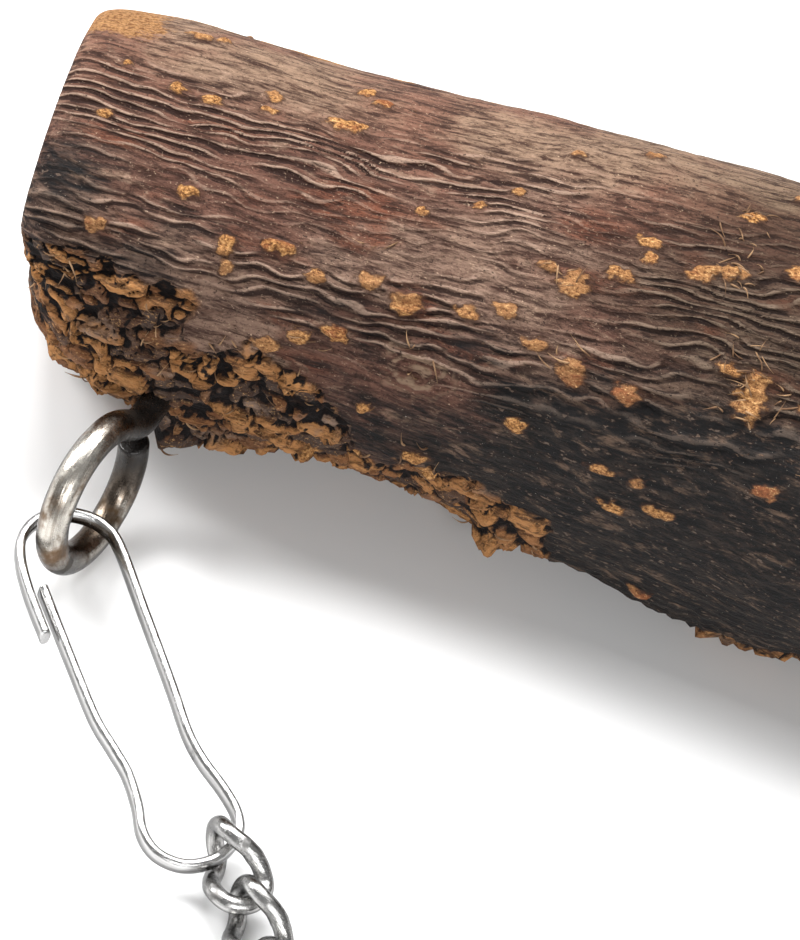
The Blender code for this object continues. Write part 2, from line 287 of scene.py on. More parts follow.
def bark_turn(angle):
    """The turn of one line of the bark; the lines are closest on the side that is most on show."""
    return angle - 0.46 * math.sin(angle - FINE_SIDE)


branch_form = bmesh.new()
bmesh.ops.create_cone(branch_form, cap_ends=False, segments=SIDES_ROUND, radius1=1, radius2=1, depth=1)
lengthwise = [edge for edge in branch_form.edges if abs(edge.verts[0].co.z - edge.verts[1].co.z) > 0.5]
bmesh.ops.subdivide_edges(branch_form, edges=lengthwise, cuts=ROWS_ALONG, use_grid_fill=True)
BARK_MARKS = ("wave_a", "wave_b", "wrinkle", "crumble", "crack", "flake", "pore", "soot_and_shade", "rubbed", "rust",
              "underside_tone_and_shade", "knot", "darkening_and_shade")
mark_layers = {mark: branch_form.verts.layers.float.new(mark) for mark in BARK_MARKS}
for vert in branch_form.verts:
    x = bark_row(min(max(vert.co.z + 0.5, 0.0), 1.0))
    turn = bark_turn(math.atan2(vert.co.y, vert.co.x))
    relief, marks = bark_relief(x, turn)
    radius = wood_radius(x, turn) + relief - corner_loss(x, turn)
    degrees = math.degrees(turn)
    edge_wear = 1.4 * MM * math.exp(-min(x, BRANCH_LENGTH - x) / (1.3 * MM))
    worn_top = (1.5 * MM * math.exp(-((x / (8 * MM)) ** 2))
                * smooth(0, 25, degrees) * (1 - smooth(60, 90, degrees)))
    radius -= edge_wear + worn_top
    place = wood_axis(x) + Vector((0, math.cos(turn), math.sin(turn))) * radius
    if marks["crumble"] > 0 and x > 0:
        place.x += 0.9 * MM * marks["crumble"] * noise.noise(place * 320) * smooth(0, 3 * MM, x)
    place.z = max(place.z, 0.0)
    vert.co = place
    for mark in BARK_MARKS:
        vert[mark_layers[mark]] = marks[mark]

# the sawn ends: each is drawn in from the bark's edge to the pith, with saw marks and drying cracks
SAWN_RINGS = (0.985, 0.95, 0.9, 0.84, 0.77, 0.69, 0.6, 0.51, 0.42, 0.33, 0.25, 0.17, 0.1, 0.05)
PITH_OFFSET = Vector((0, 2.0 * MM, -1.5 * MM))
RING_SPACING = 2.3 * MM
DRYING_CRACKS = [(0.4, 1.3), (1.9, 0.9), (2.7, 0.7), (3.6, 1.1), (5.2, 0.8), (5.9, 0.6)]
from_pith = branch_form.verts.layers.float.new("from_pith")


def sawn_depth(offset, share, outward):
    """How far the sawn face is sunk at one place."""
    angle = math.atan2(offset.z, offset.y)
    depth = 0.05 * MM * math.sin((offset.y * 0.8 + offset.z) / (0.9 * MM))
    for crack_angle, width in DRYING_CRACKS:
        wandering = crack_angle + 0.3 * outward + 0.12 * math.sin(9 * share)
        across = turn_between(angle, wandering) * offset.length / MM
        depth += 1.3 * MM * math.exp(-((across / (0.5 * width)) ** 2)) * smooth(0.05, 0.4, share)
    return depth


for outward in (-1, 1):
    end_x = 0 if outward < 0 else BRANCH_LENGTH
    pith = wood_axis(end_x) + PITH_OFFSET
    rim_edges = [edge for edge in branch_form.edges if edge.is_boundary
                 and (edge.verts[0].co.x - branch_low.x - BRANCH_LENGTH / 2) * outward > 0]
    rim = {vert for edge in rim_edges for vert in edge.verts}
    reach = {vert: vert.co - pith for vert in rim}
    for vert in rim:
        vert[from_pith] = 1.0
    for share in SAWN_RINGS:
        grown = bmesh.ops.extrude_edge_only(branch_form, edges=rim_edges)["geom"]
        new_edges = [part for part in grown if isinstance(part, bmesh.types.BMEdge) and part.is_boundary]
        new_reach = {}
        for part in grown:
            if isinstance(part, bmesh.types.BMVert):
                before = next(edge.other_vert(part) for edge in part.link_edges
                              if edge.other_vert(part) in reach)
                offset = reach[before]
                new_reach[part] = offset
                flat = Vector((0, offset.y, offset.z)) * share
                part.co = pith + flat - Vector((outward * sawn_depth(flat, share, outward), 0, 0))
                part[from_pith] = share
            if isinstance(part, bmesh.types.BMFace):
                part.material_index = 1
        reach = new_reach
        rim_edges = new_edges
    bmesh.ops.pointmerge(branch_form, verts=list(reach), merge_co=pith)
for face in branch_form.faces:
    face.smooth = True
    shares = [vert[from_pith] for vert in face.verts]
    if all(share > 0 for share in shares) or any(0 < share < 1 for share in shares):
        face.material_index = 1
bmesh.ops.recalc_face_normals(branch_form, faces=branch_form.faces)


def finished(name, form, materials):
    """Makes a shaped form into a named piece at the origin."""
    mesh = bpy.data.meshes.new(name)
    form.to_mesh(mesh)
    form.free()
    for material in materials:
        mesh.materials.append(material)
    piece = bpy.data.objects.new(name, mesh)
    bpy.context.scene.collection.objects.link(piece)
    return piece


def new_finish(name):
    """An empty material, its nodes and its shader."""
    material = bpy.data.materials.new(name)
    material.use_nodes = True
    return material, material.node_tree, material.node_tree.nodes["Principled BSDF"]


def put(tree, kind, links=None, **values):
    """Adds a node, sets its own settings and its inputs' values, and links its inputs to other sockets."""
    made = tree.nodes.new(kind)
    for key, value in values.items():
        if key in made.inputs:
            made.inputs[key].default_value = value
        else:
            setattr(made, key, value)
    for key, socket in (links or {}).items():
        tree.links.new(socket, made.inputs[key])
    return made


def shade(tree, factor, low, high):
    """A mix of two colours, or of two colour sockets, by a factor socket."""
    mix = tree.nodes.new("ShaderNodeMix")
    mix.data_type = "RGBA"
    tree.links.new(factor, mix.inputs[0])
    for index, value in ((6, low), (7, high)):
        if isinstance(value, tuple):
            mix.inputs[index].default_value = (*value, 1.0)
        else:
            tree.links.new(value, mix.inputs[index])
    return mix.outputs[2]


def sum_up(tree, operation, first, second=0.5, third=0.5):
    """A Math node on sockets or plain numbers."""
    made = tree.nodes.new("ShaderNodeMath")
    made.operation = operation
    for index, value in enumerate((first, second, third)):
        if isinstance(value, (int, float)):
            made.inputs[index].default_value = value
        else:
            tree.links.new(value, made.inputs[index])
    return made.outputs[0]


def between(tree, value, low, high):
    """Spreads a value's range from low to high over 0 to 1, with an easy rise."""
    made = put(tree, "ShaderNodeMapRange", interpolation_type="SMOOTHSTEP")
    tree.links.new(value, made.inputs["Value"])
    for name, limit in (("From Min", low), ("From Max", high)):
        if isinstance(limit, (int, float)):
            made.inputs[name].default_value = limit
        else:
            tree.links.new(limit, made.inputs[name])
    return made.outputs["Result"]


def mottle(tree, coordinates, scale, stretch=(1, 1, 1), detail=4.0, roughness=0.6, distortion=0.0):
    """Noise on stretched coordinates, in cells of about scale to a metre."""
    mapping = put(tree, "ShaderNodeMapping", {"Vector": coordinates}, Scale=stretch)
    made = put(tree, "ShaderNodeTexNoise", {"Vector": mapping.outputs[0]},
               Scale=scale, Detail=detail, Roughness=roughness, Distortion=distortion)
    return made.outputs["Fac"]


def bark_finish():
    """Dry bark: sooty stains, crumbled cork, ochre pores; painted highlight and shade on wrinkles, bumps,
    cracks and underside.
    """
    material, tree, shader = new_finish("bark")
    where = put(tree, "ShaderNodeTexCoord").outputs["Object"]
    mark = {}
    for name in BARK_MARKS:
        mark[name] = put(tree, "ShaderNodeAttribute", attribute_name=name).outputs["Fac"]

    broad = mottle(tree, where, 30, (1, 1.6, 1.6), 5, 0.6)
    blotch = mottle(tree, where, 95, (0.5, 1, 1), 5, 0.65)
    fibre = mottle(tree, where, 1000, (0.16, 1, 1), 4, 0.7, 0.4)
    grit = mottle(tree, where, 2600, (0.7, 1, 1), 3, 0.75)
    flecks = mottle(tree, where, 1500, (0.5, 1, 1), 2, 0.6)
    crumple = mottle(tree, where, 430, (0.4, 1, 1), 4, 0.65, 0.6)

    # the wrinkles, rebuilt finer than the mesh from the two halves of their wave
    swing = sum_up(tree, "POWER", sum_up(tree, "MULTIPLY_ADD", mark["wave_a"], mark["wave_a"],
                                         sum_up(tree, "MULTIPLY", mark["wave_b"], mark["wave_b"])), 0.5)
    level = sum_up(tree, "DIVIDE", mark["wave_a"], swing)
    level = sum_up(tree, "MULTIPLY_ADD", sum_up(tree, "SUBTRACT", fibre, 0.5), 1.3, level)
    under = sum_up(tree, "MULTIPLY_ADD", mark["wave_b"], 0.92,
                   sum_up(tree, "MULTIPLY", mark["wave_a"], -0.39))
    under = sum_up(tree, "DIVIDE", under, swing)
    under = sum_up(tree, "MULTIPLY_ADD", sum_up(tree, "SUBTRACT", fibre, 0.5), -1.6, under)
    crest = sum_up(tree, "MULTIPLY", between(tree, level, 0.45, 1.05), mark["wrinkle"])
    groove = sum_up(tree, "MULTIPLY", between(tree, under, 0.30, 1.05), mark["wrinkle"])

    # upper and lower bark colours, mixed by the underside mark: the lower is darker, partly its own tone
    # and partly painted shade
    upper = shade(tree, between(tree, broad, 0.42, 0.58), (0.230, 0.115, 0.078), (0.315, 0.205, 0.138))
    lower = shade(tree, between(tree, broad, 0.42, 0.58), (0.150, 0.072, 0.051), (0.225, 0.140, 0.102))
    skin = shade(tree, mark["underside_tone_and_shade"], upper, lower)
    skin = shade(tree, sum_up(tree, "MULTIPLY", between(tree, blotch, 0.42, 0.58), mark["rust"]), skin,
                 (0.170, 0.062, 0.036))
    # painted highlight on the crumple's rises and painted shade in its hollows, following the bump that the
    # same noise gives
    skin = shade(tree, sum_up(tree, "MULTIPLY", between(tree, crumple, 0.55, 0.72), 0.7), skin,
                 (0.370, 0.245, 0.172))
    skin = shade(tree, sum_up(tree, "MULTIPLY", between(tree, crumple, 0.46, 0.30), 0.8), skin,
                 (0.070, 0.032, 0.022))
    skin = shade(tree, between(tree, fibre, 0.60, 0.34), skin, (0.045, 0.021, 0.015))
    # painted highlight on the wrinkles' crests and painted shade in their grooves, on top of the relief
    # that the bump gives them
    skin = shade(tree, sum_up(tree, "MULTIPLY", between(tree, crest, 0.08, 0.80), 0.85), skin,
                 (0.400, 0.270, 0.200))
    skin = shade(tree, sum_up(tree, "MULTIPLY", between(tree, groove, 0.08, 0.60), 0.85), skin,
                 (0.022, 0.010, 0.008))
    skin = shade(tree, between(tree, grit, 0.45, 0.30), skin, (0.030, 0.016, 0.012))
    skin = shade(tree, between(tree, grit, 0.59, 0.76), skin, (0.52, 0.36, 0.25))
    # multiplies the bark darker by the same mark: partly its own tone and partly painted shade
    darkened = put(tree, "ShaderNodeMix", data_type="RGBA", blend_type="MULTIPLY")
    tree.links.new(mark["darkening_and_shade"], darkened.inputs[0])
    tree.links.new(skin, darkened.inputs[6])
    darkened.inputs[7].default_value = (0.40, 0.42, 0.40, 1)
    skin = darkened.outputs[2]
    knot_grain = sum_up(tree, "MULTIPLY", between(tree, mark["knot"], 0.2, 0.9),
                        between(tree, fibre, 0.35, 0.55))
    skin = shade(tree, knot_grain, skin, (0.250, 0.165, 0.110))

    # the charcoal colour of the soot, also laid on as painted shade over the shade band folded into the
    # soot mark
    soot_and_shade_colour = shade(tree, between(tree, fibre, 0.42, 0.72), (0.008, 0.0075, 0.008), (0.038, 0.029, 0.024))
    # in the charcoal too: painted highlight on the crests and painted shade in the grooves
    soot_and_shade_colour = shade(tree, between(tree, crest, 0.15, 0.9), soot_and_shade_colour, (0.085, 0.064, 0.052))
    soot_and_shade_colour = shade(tree, between(tree, groove, 0.15, 0.7), soot_and_shade_colour, (0.009, 0.008, 0.008))
    bare = sum_up(tree, "MULTIPLY", between(tree, crumple, 0.52, 0.68), between(tree, fibre, 0.38, 0.60))
    soot_and_shade_colour = shade(tree, bare, soot_and_shade_colour, (0.150, 0.096, 0.066))
    soot_and_shade_colour = shade(tree, between(tree, grit, 0.44, 0.32), soot_and_shade_colour, (0.006, 0.005, 0.005))
    soot_and_shade_colour = shade(tree, between(tree, flecks, 0.64, 0.72), soot_and_shade_colour, (0.210, 0.165, 0.130))
    soot_and_shade_colour = shade(tree, between(tree, grit, 0.67, 0.76), soot_and_shade_colour, (0.45, 0.40, 0.34))
    # the soot and the painted shade band turn the bark to the charcoal colour
    soot_and_shade = sum_up(tree, "MULTIPLY_ADD", sum_up(tree, "SUBTRACT", blotch, 0.5), 1.3, mark["soot_and_shade"])
    soot_and_shade = sum_up(tree, "MULTIPLY_ADD", sum_up(tree, "SUBTRACT", fibre, 0.5), -0.7, soot_and_shade)
    skin = shade(tree, between(tree, soot_and_shade, 0.25, 0.85), skin, soot_and_shade_colour)

    cork = shade(tree, between(tree, mark["flake"], 0.15, 0.40), (0.075, 0.050, 0.040),
                 (0.230, 0.100, 0.044))
    cork = shade(tree, between(tree, mark["flake"], 0.45, 0.80), cork, (0.470, 0.220, 0.080))
    cork = shade(tree, between(tree, blotch, 0.56, 0.70), cork, (0.260, 0.175, 0.128))
    cork = shade(tree, sum_up(tree, "MULTIPLY", between(tree, fibre, 0.56, 0.36), 0.85), cork,
                 (0.040, 0.017, 0.009))
    cork = shade(tree, between(tree, grit, 0.54, 0.72), cork, (0.50, 0.28, 0.12))
    # painted shade: the cracks and the gaps between flakes go near black, over the dents that the mesh
    # gives them
    black = sum_up(tree, "MULTIPLY_ADD", sum_up(tree, "SUBTRACT", grit, 0.5), 0.8, mark["crack"])
    cork = shade(tree, between(tree, black, 0.30, 0.70), cork, (0.007, 0.005, 0.005))
    skin = shade(tree, mark["crumble"], skin, cork)
    skin = shade(tree, between(tree, black, 0.35, 0.75), skin, (0.009, 0.007, 0.007))

    rubbed = sum_up(tree, "MULTIPLY_ADD", sum_up(tree, "SUBTRACT", flecks, 0.5), 1.1, mark["rubbed"])
    rubbed = sum_up(tree, "MULTIPLY_ADD", sum_up(tree, "SUBTRACT", blotch, 0.5), 1.0, rubbed)
    ochre = shade(tree, between(tree, grit, 0.36, 0.62), (0.150, 0.058, 0.020), (0.440, 0.235, 0.098))
    skin = shade(tree, between(tree, rubbed, 0.30, 0.62), skin, ochre)

    pore_edge = sum_up(tree, "MULTIPLY_ADD", sum_up(tree, "SUBTRACT", flecks, 0.5), 1.2, mark["pore"])
    pore_cork = shade(tree, between(tree, grit, 0.34, 0.66), (0.150, 0.056, 0.018), (0.620, 0.310, 0.105))
    pore_cork = shade(tree, between(tree, broad, 0.42, 0.62), pore_cork, (0.330, 0.160, 0.068))
    pore_cork = shade(tree, between(tree, blotch, 0.55, 0.66), pore_cork, (0.260, 0.088, 0.036))
    pore_cork = shade(tree, between(tree, grit, 0.47, 0.33), pore_cork, (0.100, 0.038, 0.014))
    pore_cork = shade(tree, between(tree, grit, 0.54, 0.70), pore_cork, (0.700, 0.420, 0.190))
    skin = shade(tree, sum_up(tree, "MULTIPLY", between(tree, pore_edge, 0.02, 0.40), 0.7), skin,
                 (0.055, 0.026, 0.016))
    skin = shade(tree, between(tree, pore_edge, 0.26, 0.80), skin, pore_cork)
    tree.links.new(skin, shader.inputs["Base Color"])

    rough = sum_up(tree, "SUBTRACT", 0.92, sum_up(tree, "MULTIPLY", mark["soot_and_shade"], 0.22))
    tree.links.new(rough, shader.inputs["Roughness"])
    shader.inputs["Specular IOR Level"].default_value = 0.18
    relief = sum_up(tree, "MULTIPLY_ADD", fibre, 0.8, sum_up(tree, "MULTIPLY", grit, 0.75))
    relief = sum_up(tree, "MULTIPLY_ADD", crumple, 1.1, relief)
    relief = sum_up(tree, "MULTIPLY_ADD", crest, 0.7, relief)
    relief = sum_up(tree, "MULTIPLY_ADD", groove, -0.7, relief)
    relief = sum_up(tree, "MULTIPLY_ADD", mark["crack"], -0.6, relief)
    bump = put(tree, "ShaderNodeBump", {"Height": relief}, Strength=1.0, Distance=0.00055)
    tree.links.new(bump.outputs[0], shader.inputs["Normal"])
    return material


def sawn_finish():
    """End grain: growth rings round the pith, a fine speckle, a pale sapwood and a dark line under the
    bark.
    """
    material, tree, shader = new_finish("sawn_wood")
    where = put(tree, "ShaderNodeTexCoord").outputs["Object"]
    centre = put(tree, "ShaderNodeMapping", {"Vector": where}, Location=(0, -BRANCH_Y - 2 * MM, -27 * MM))
    flat = put(tree, "ShaderNodeVectorMath", {0: centre.outputs[0]}, operation="MULTIPLY")
    flat.inputs[1].default_value = (0, 1, 1)
    wander = mottle(tree, where, 60, (0, 1, 1), 3, 0.5)
    length = put(tree, "ShaderNodeVectorMath", {0: flat.outputs[0]}, operation="LENGTH").outputs["Value"]
    length = sum_up(tree, "ADD", length, sum_up(tree, "MULTIPLY", wander, 0.006))
    rings = sum_up(tree, "SINE", sum_up(tree, "MULTIPLY", length, 2 * math.pi / RING_SPACING))
    fine = mottle(tree, where, 1900, (0.3, 1, 1), 4, 0.7)
    wood = shade(tree, between(tree, rings, -0.6, 0.95), (0.46, 0.285, 0.150), (0.27, 0.135, 0.058))
    wood = shade(tree, between(tree, fine, 0.58, 0.38), wood, (0.20, 0.10, 0.045))
    heart = put(tree, "ShaderNodeAttribute", attribute_name="from_pith").outputs["Fac"]
    wood = shade(tree, between(tree, heart, 0.42, 0.18), wood, (0.17, 0.075, 0.032))
    wood = shade(tree, between(tree, heart, 0.93, 0.975), wood, (0.060, 0.028, 0.016))
    dirt = mottle(tree, where, 130, (1, 1, 1), 5, 0.65)
    wood = shade(tree, between(tree, dirt, 0.50, 0.68), wood, (0.12, 0.085, 0.062))
    rotten = put(tree, "ShaderNodeAttribute", attribute_name="crumble").outputs["Fac"]
    wood = shade(tree, rotten, wood, (0.16, 0.075, 0.035))
    tree.links.new(wood, shader.inputs["Base Color"])
    shader.inputs["Roughness"].default_value = 0.88
    relief = sum_up(tree, "ADD", sum_up(tree, "MULTIPLY", rings, 0.2), fine)
    bump = put(tree, "ShaderNodeBump", {"Height": relief}, Strength=0.8, Distance=0.0003)
    tree.links.new(bump.outputs[0], shader.inputs["Normal"])
    return material


branch = finished("bark_branch", branch_form, [bark_finish(), sawn_finish()])
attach(branch, "perch")
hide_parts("branch")

# ======================================================================================================
# THE SCREW EYES
# Each is one thick steel wire bent to a ring, its shank screwed into the side of the branch near an end.
# They are old stock: ground flat in places, brown with wear, and black where they enter the wood.
# ======================================================================================================

EYE_WIRE = 2.25 * MM
EYE_RING = 10.3 * MM
EYE_INSET = 19.8 * MM
EYE_STAND_OFF = 15.2 * MM
EYE_LEAN = math.radians(15)
EYE_ROLL = math.radians(7)
EYE_LIFT = 0.4 * MM
NECK_LENGTH = 4.5 * MM
NECK_EASE = 4.0 * MM
SHANK_LENGTH = 30 * MM


def frame_of(origin, along, up):
    """A placing whose X runs along, and whose Z is as near to up as it can be."""
    x_axis = Vector(along).normalized()
    y_axis = Vector(up).cross(x_axis).normalized()
    turn = Matrix((x_axis, y_axis, x_axis.cross(y_axis))).transposed().to_4x4()
    return Matrix.Translation(origin) @ turn


def eye_place(side):
    """Where an eye stands: X points out of the wood, and the ring lies in the X-Z plane."""
    x = EYE_INSET if side < 0 else BRANCH_LENGTH - EYE_INSET
    axis = wood_axis(x)
    reach = mean_radius(x) + EYE_STAND_OFF
    drop = axis.z - EYE_RING - EYE_WIRE - EYE_LIFT
    forward = math.sqrt(reach ** 2 - drop ** 2)
    centre = axis - Vector((0, forward, drop))
    out = Vector((side * math.tan(EYE_LEAN), -forward / reach, -drop / reach))
    return frame_of(centre, out, Vector((side * math.sin(EYE_ROLL), 0, math.cos(EYE_ROLL))))


def eye_path():
    """The line of the wire: up the shank, over to one side, and round the ring to just beside the shank."""
    bend = Vector((-EYE_RING - NECK_LENGTH, 0, 0))
    first = math.radians(40)
    last = math.radians(349)
    on_ring = Vector((-EYE_RING * math.cos(first), 0, EYE_RING * math.sin(first)))
    leave = bend + Vector((NECK_EASE, 0, 0))
    meet = on_ring - Vector((math.sin(first), 0, math.cos(first))) * NECK_EASE
    path = [bend - Vector((SHANK_LENGTH * (1 - step / 24), 0, 0)) for step in range(24)]
    for step in range(16):
        t = step / 16
        path.append(bend * (1 - t) ** 3 + leave * 3 * t * (1 - t) ** 2
                    + meet * 3 * t * t * (1 - t) + on_ring * t ** 3)
    for step in range(97):
        angle = first + (last - first) * step / 96
        path.append(Vector((-EYE_RING * math.cos(angle), 0, EYE_RING * math.sin(angle))))
    return path


def drawn_wire(path, ups, half_width, half_depth, sides, place, shape=None):
    """A wire along a path. ups gives the way its depth points at each step; shape may change its section.

    A path that ends where it starts is closed on itself. The drawn mark holds each point's distance along
    the wire in mm and its place round it.
    """
    closed = (path[0] - path[-1]).length < 1e-7
    form = bmesh.new()
    bmesh.ops.create_cone(form, cap_ends=not closed, segments=sides, radius1=1, radius2=1, depth=1)
    lengthwise = [edge for edge in form.edges if abs(edge.verts[0].co.z - edge.verts[1].co.z) > 0.5]
    bmesh.ops.subdivide_edges(form, edges=lengthwise, cuts=len(path) - 2, use_grid_fill=True)
    drawn = form.verts.layers.float_vector.new("drawn")
    run = [0.0]
    for first, second in zip(path, path[1:]):
        run.append(run[-1] + (second - first).length)
    last = len(path) - 1
    for vert in form.verts:
        index = round((vert.co.z + 0.5) * last)
        angle = math.atan2(vert.co.y, vert.co.x)
        if closed:
            ahead = path[(index + 1) % last] - path[(index - 1) % last]
        else:
            ahead = path[min(index + 1, last)] - path[max(index - 1, 0)]
        ahead.normalize()
        side = ups[index].cross(ahead).normalized()
        deep = ahead.cross(side)
        across = half_width * math.cos(angle)
        depth = half_width * math.sin(angle) + math.copysign(half_depth - half_width, math.sin(angle))
        if abs(math.sin(angle)) < 1e-6:
            depth = 0.0
        if shape is not None:
            grow = shape(run[index] / MM, angle, path[index])
            across *= grow
            depth *= grow
        vert[drawn] = Vector((run[index] / MM, math.cos(angle), math.sin(angle)))
        vert.co = place @ (path[index] + side * across + deep * depth)
    if closed:
        bmesh.ops.remove_doubles(form, verts=form.verts, dist=1e-6)
    else:
        caps = [face for face in form.faces if len(face.verts) > 4]
        bmesh.ops.inset_region(form, faces=caps, thickness=half_width * 0.16, depth=half_width * 0.1)
    bmesh.ops.recalc_face_normals(form, faces=form.faces)
    for face in form.faces:
        face.smooth = len(face.verts) == 4
    return form


def eye_section(run, angle, point):
    """The ring's wire is ground flat in places, and its shank is threaded."""
    grow = 1.0 - 0.035 * max(0.0, math.sin(run * 0.33 + 2 * math.cos(angle))) ** 3
    if point.x < -EYE_RING - 6.5 * MM:
        grow *= 0.93 + 0.07 * math.sin(2 * math.pi * run / 1.7 + angle)
    return grow


def wire_wear_group():
    """The wear on drawn steel wire: fine lines along it, duller worn patches, pits and brown stains."""
    group = bpy.data.node_groups.new("wire_wear", "ShaderNodeTree")
    for name, kind in (("Where", "Vector"), ("Drawn", "Vector"), ("Bright", "Color"), ("Dark", "Color"),
                       ("Wear", "Float"), ("Polish", "Float")):
        group.interface.new_socket(name, in_out="INPUT", socket_type="NodeSocket" + kind)
    for name, kind in (("Colour", "Color"), ("Roughness", "Float"),
                       ("Height", "Float"), ("Stain", "Float")):
        group.interface.new_socket(name, in_out="OUTPUT", socket_type="NodeSocket" + kind)
    given = group.nodes.new("NodeGroupInput").outputs
    result = group.nodes.new("NodeGroupOutput").inputs
    lines = mottle(group, given["Drawn"], 6.0, (0.035, 1, 1), 3, 0.6)
    hair = mottle(group, given["Drawn"], 22.0, (0.02, 1, 1), 2, 0.5)
    patches = mottle(group, given["Where"], 210, (1, 1, 1), 4, 0.6)
    pits = mottle(group, given["Where"], 1500, (1, 1, 1), 3, 0.7)
    brown = mottle(group, given["Where"], 120, (1, 1, 1), 4, 0.65)
    worn = between(group, patches, sum_up(group, "MULTIPLY_ADD", given["Wear"], -0.3, 0.66),
                   sum_up(group, "MULTIPLY_ADD", given["Wear"], -0.3, 0.78))
    colour = shade(group, worn, given["Bright"], given["Dark"])
    dull_lines = sum_up(group, "MULTIPLY", between(group, lines, 0.60, 0.34), 0.45)
    rough = sum_up(group, "MULTIPLY_ADD", worn, 0.22, given["Polish"])
    relief = sum_up(group, "ADD", sum_up(group, "MULTIPLY", hair, 0.5), lines)
    for name, value in (
        ("Colour", shade(group, dull_lines, colour, given["Dark"])),
        ("Roughness", sum_up(group, "MULTIPLY_ADD", between(group, pits, 0.5, 0.75), 0.14, rough)),
        ("Height", sum_up(group, "MULTIPLY_ADD", between(group, pits, 0.68, 0.8), -0.8, relief)),
        ("Stain", between(group, brown, 0.46, 0.62)),
    ):
        group.links.new(value, result[name])
    return group


WIRE_WEAR = wire_wear_group()


def steel_finish(name, dark, bright, roughness, scratches, wear, stain=0.0):
    """Bare steel wire with its own amount of wear, a painted dark reflection where it turns away, and
    stained or not.
    """
    material, tree, shader = new_finish(name)
    steel = put(tree, "ShaderNodeGroup", node_tree=WIRE_WEAR)
    tree.links.new(put(tree, "ShaderNodeTexCoord").outputs["Object"], steel.inputs["Where"])
    drawn = put(tree, "ShaderNodeAttribute", attribute_name="drawn").outputs["Vector"]
    tree.links.new(drawn, steel.inputs["Drawn"])
    steel.inputs["Bright"].default_value = (*bright, 1.0)
    steel.inputs["Dark"].default_value = (*dark, 1.0)
    steel.inputs["Wear"].default_value = wear
    steel.inputs["Polish"].default_value = roughness
    # painted reflection: the steel goes near black where it turns away from the view, for the dark
    # surroundings its edges would mirror
    facing = put(tree, "ShaderNodeLayerWeight", Blend=0.5).outputs["Facing"]
    colour = shade(tree, between(tree, facing, 0.28, 0.80), steel.outputs["Colour"], (0.035, 0.034, 0.033))
    if stain:
        brown = sum_up(tree, "MULTIPLY", steel.outputs["Stain"], stain)
        colour = shade(tree, brown, colour, (0.15, 0.085, 0.042))
    tree.links.new(colour, shader.inputs["Base Color"])
    shader.inputs["Metallic"].default_value = 1.0
    tree.links.new(steel.outputs["Roughness"], shader.inputs["Roughness"])
    bump = put(tree, "ShaderNodeBump", {"Height": steel.outputs["Height"]},
               Strength=scratches, Distance=0.00006)
    tree.links.new(bump.outputs[0], shader.inputs["Normal"])
    return material, tree, shader, colour


def eye_finish(side):
    """The eye's steel, darker towards where it meets the wood and black right at it, with painted shade
    inside its ring.
    """
    material, tree, shader, colour = steel_finish(
        "eye_steel", (0.17, 0.125, 0.085), (0.60, 0.565, 0.51), 0.27, 0.9, 0.40, 0.8)
    where = put(tree, "ShaderNodeTexCoord").outputs["Object"]
    centre = eye_place(side).translation
    root = centre - eye_place(side).to_3x3().col[0] * (EYE_RING + 2.6 * MM)
    away = put(tree, "ShaderNodeVectorMath", {0: where}, operation="DISTANCE")
    away.inputs[1].default_value = root
    ragged = mottle(tree, where, 500, (1, 1, 1), 4, 0.6)
    near = sum_up(tree, "MULTIPLY_ADD", ragged, -0.009, away.outputs["Value"])
    black_at_wood = between(tree, near, 0.0050, 0.0)
    # painted shade: a brown-black streak along the inner side of the wire
    around = put(tree, "ShaderNodeAttribute", attribute_name="drawn").outputs["Vector"]
    inner = put(tree, "ShaderNodeSeparateXYZ", {"Vector": around}).outputs["Y"]
    inner = sum_up(tree, "MULTIPLY_ADD", sum_up(tree, "SUBTRACT", ragged, 0.5), 1.6, inner)
    colour = shade(tree, sum_up(tree, "MULTIPLY", between(tree, inner, 0.25, 0.95), 0.85), colour,
                   (0.075, 0.045, 0.024))
    # darker towards the wood, and near black with less metal shine right at it
    colour = shade(tree, between(tree, near, 0.0095, 0.0035), colour, (0.060, 0.050, 0.042))
    tree.links.new(shade(tree, black_at_wood, colour, (0.012, 0.010, 0.009)), shader.inputs["Base Color"])
    bare_metal = sum_up(tree, "SUBTRACT", 1.0, sum_up(tree, "MULTIPLY", black_at_wood, 0.75))
    tree.links.new(bare_metal, shader.inputs["Metallic"])
    return material


for side, label in ((-1, "left"), (1, "right")):
    path = eye_path()
    eye_form = drawn_wire(path, [Vector((0, 1, 0))] * len(path), EYE_WIRE, EYE_WIRE, 32,
                          eye_place(side), eye_section)
    screw_eye = finished(label + "_ring_bolt", eye_form, [eye_finish(side)])
    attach(screw_eye, "perch")
    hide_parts(label + "_screw_eye")

# ======================================================================================================
# THE SNAP CLIPS
# Each is one length of flat spring wire with rounded edges, bent to a long loop with a waist. Its hook
# laps over the free end of the wire, which springs inwards as the gate.
# ======================================================================================================

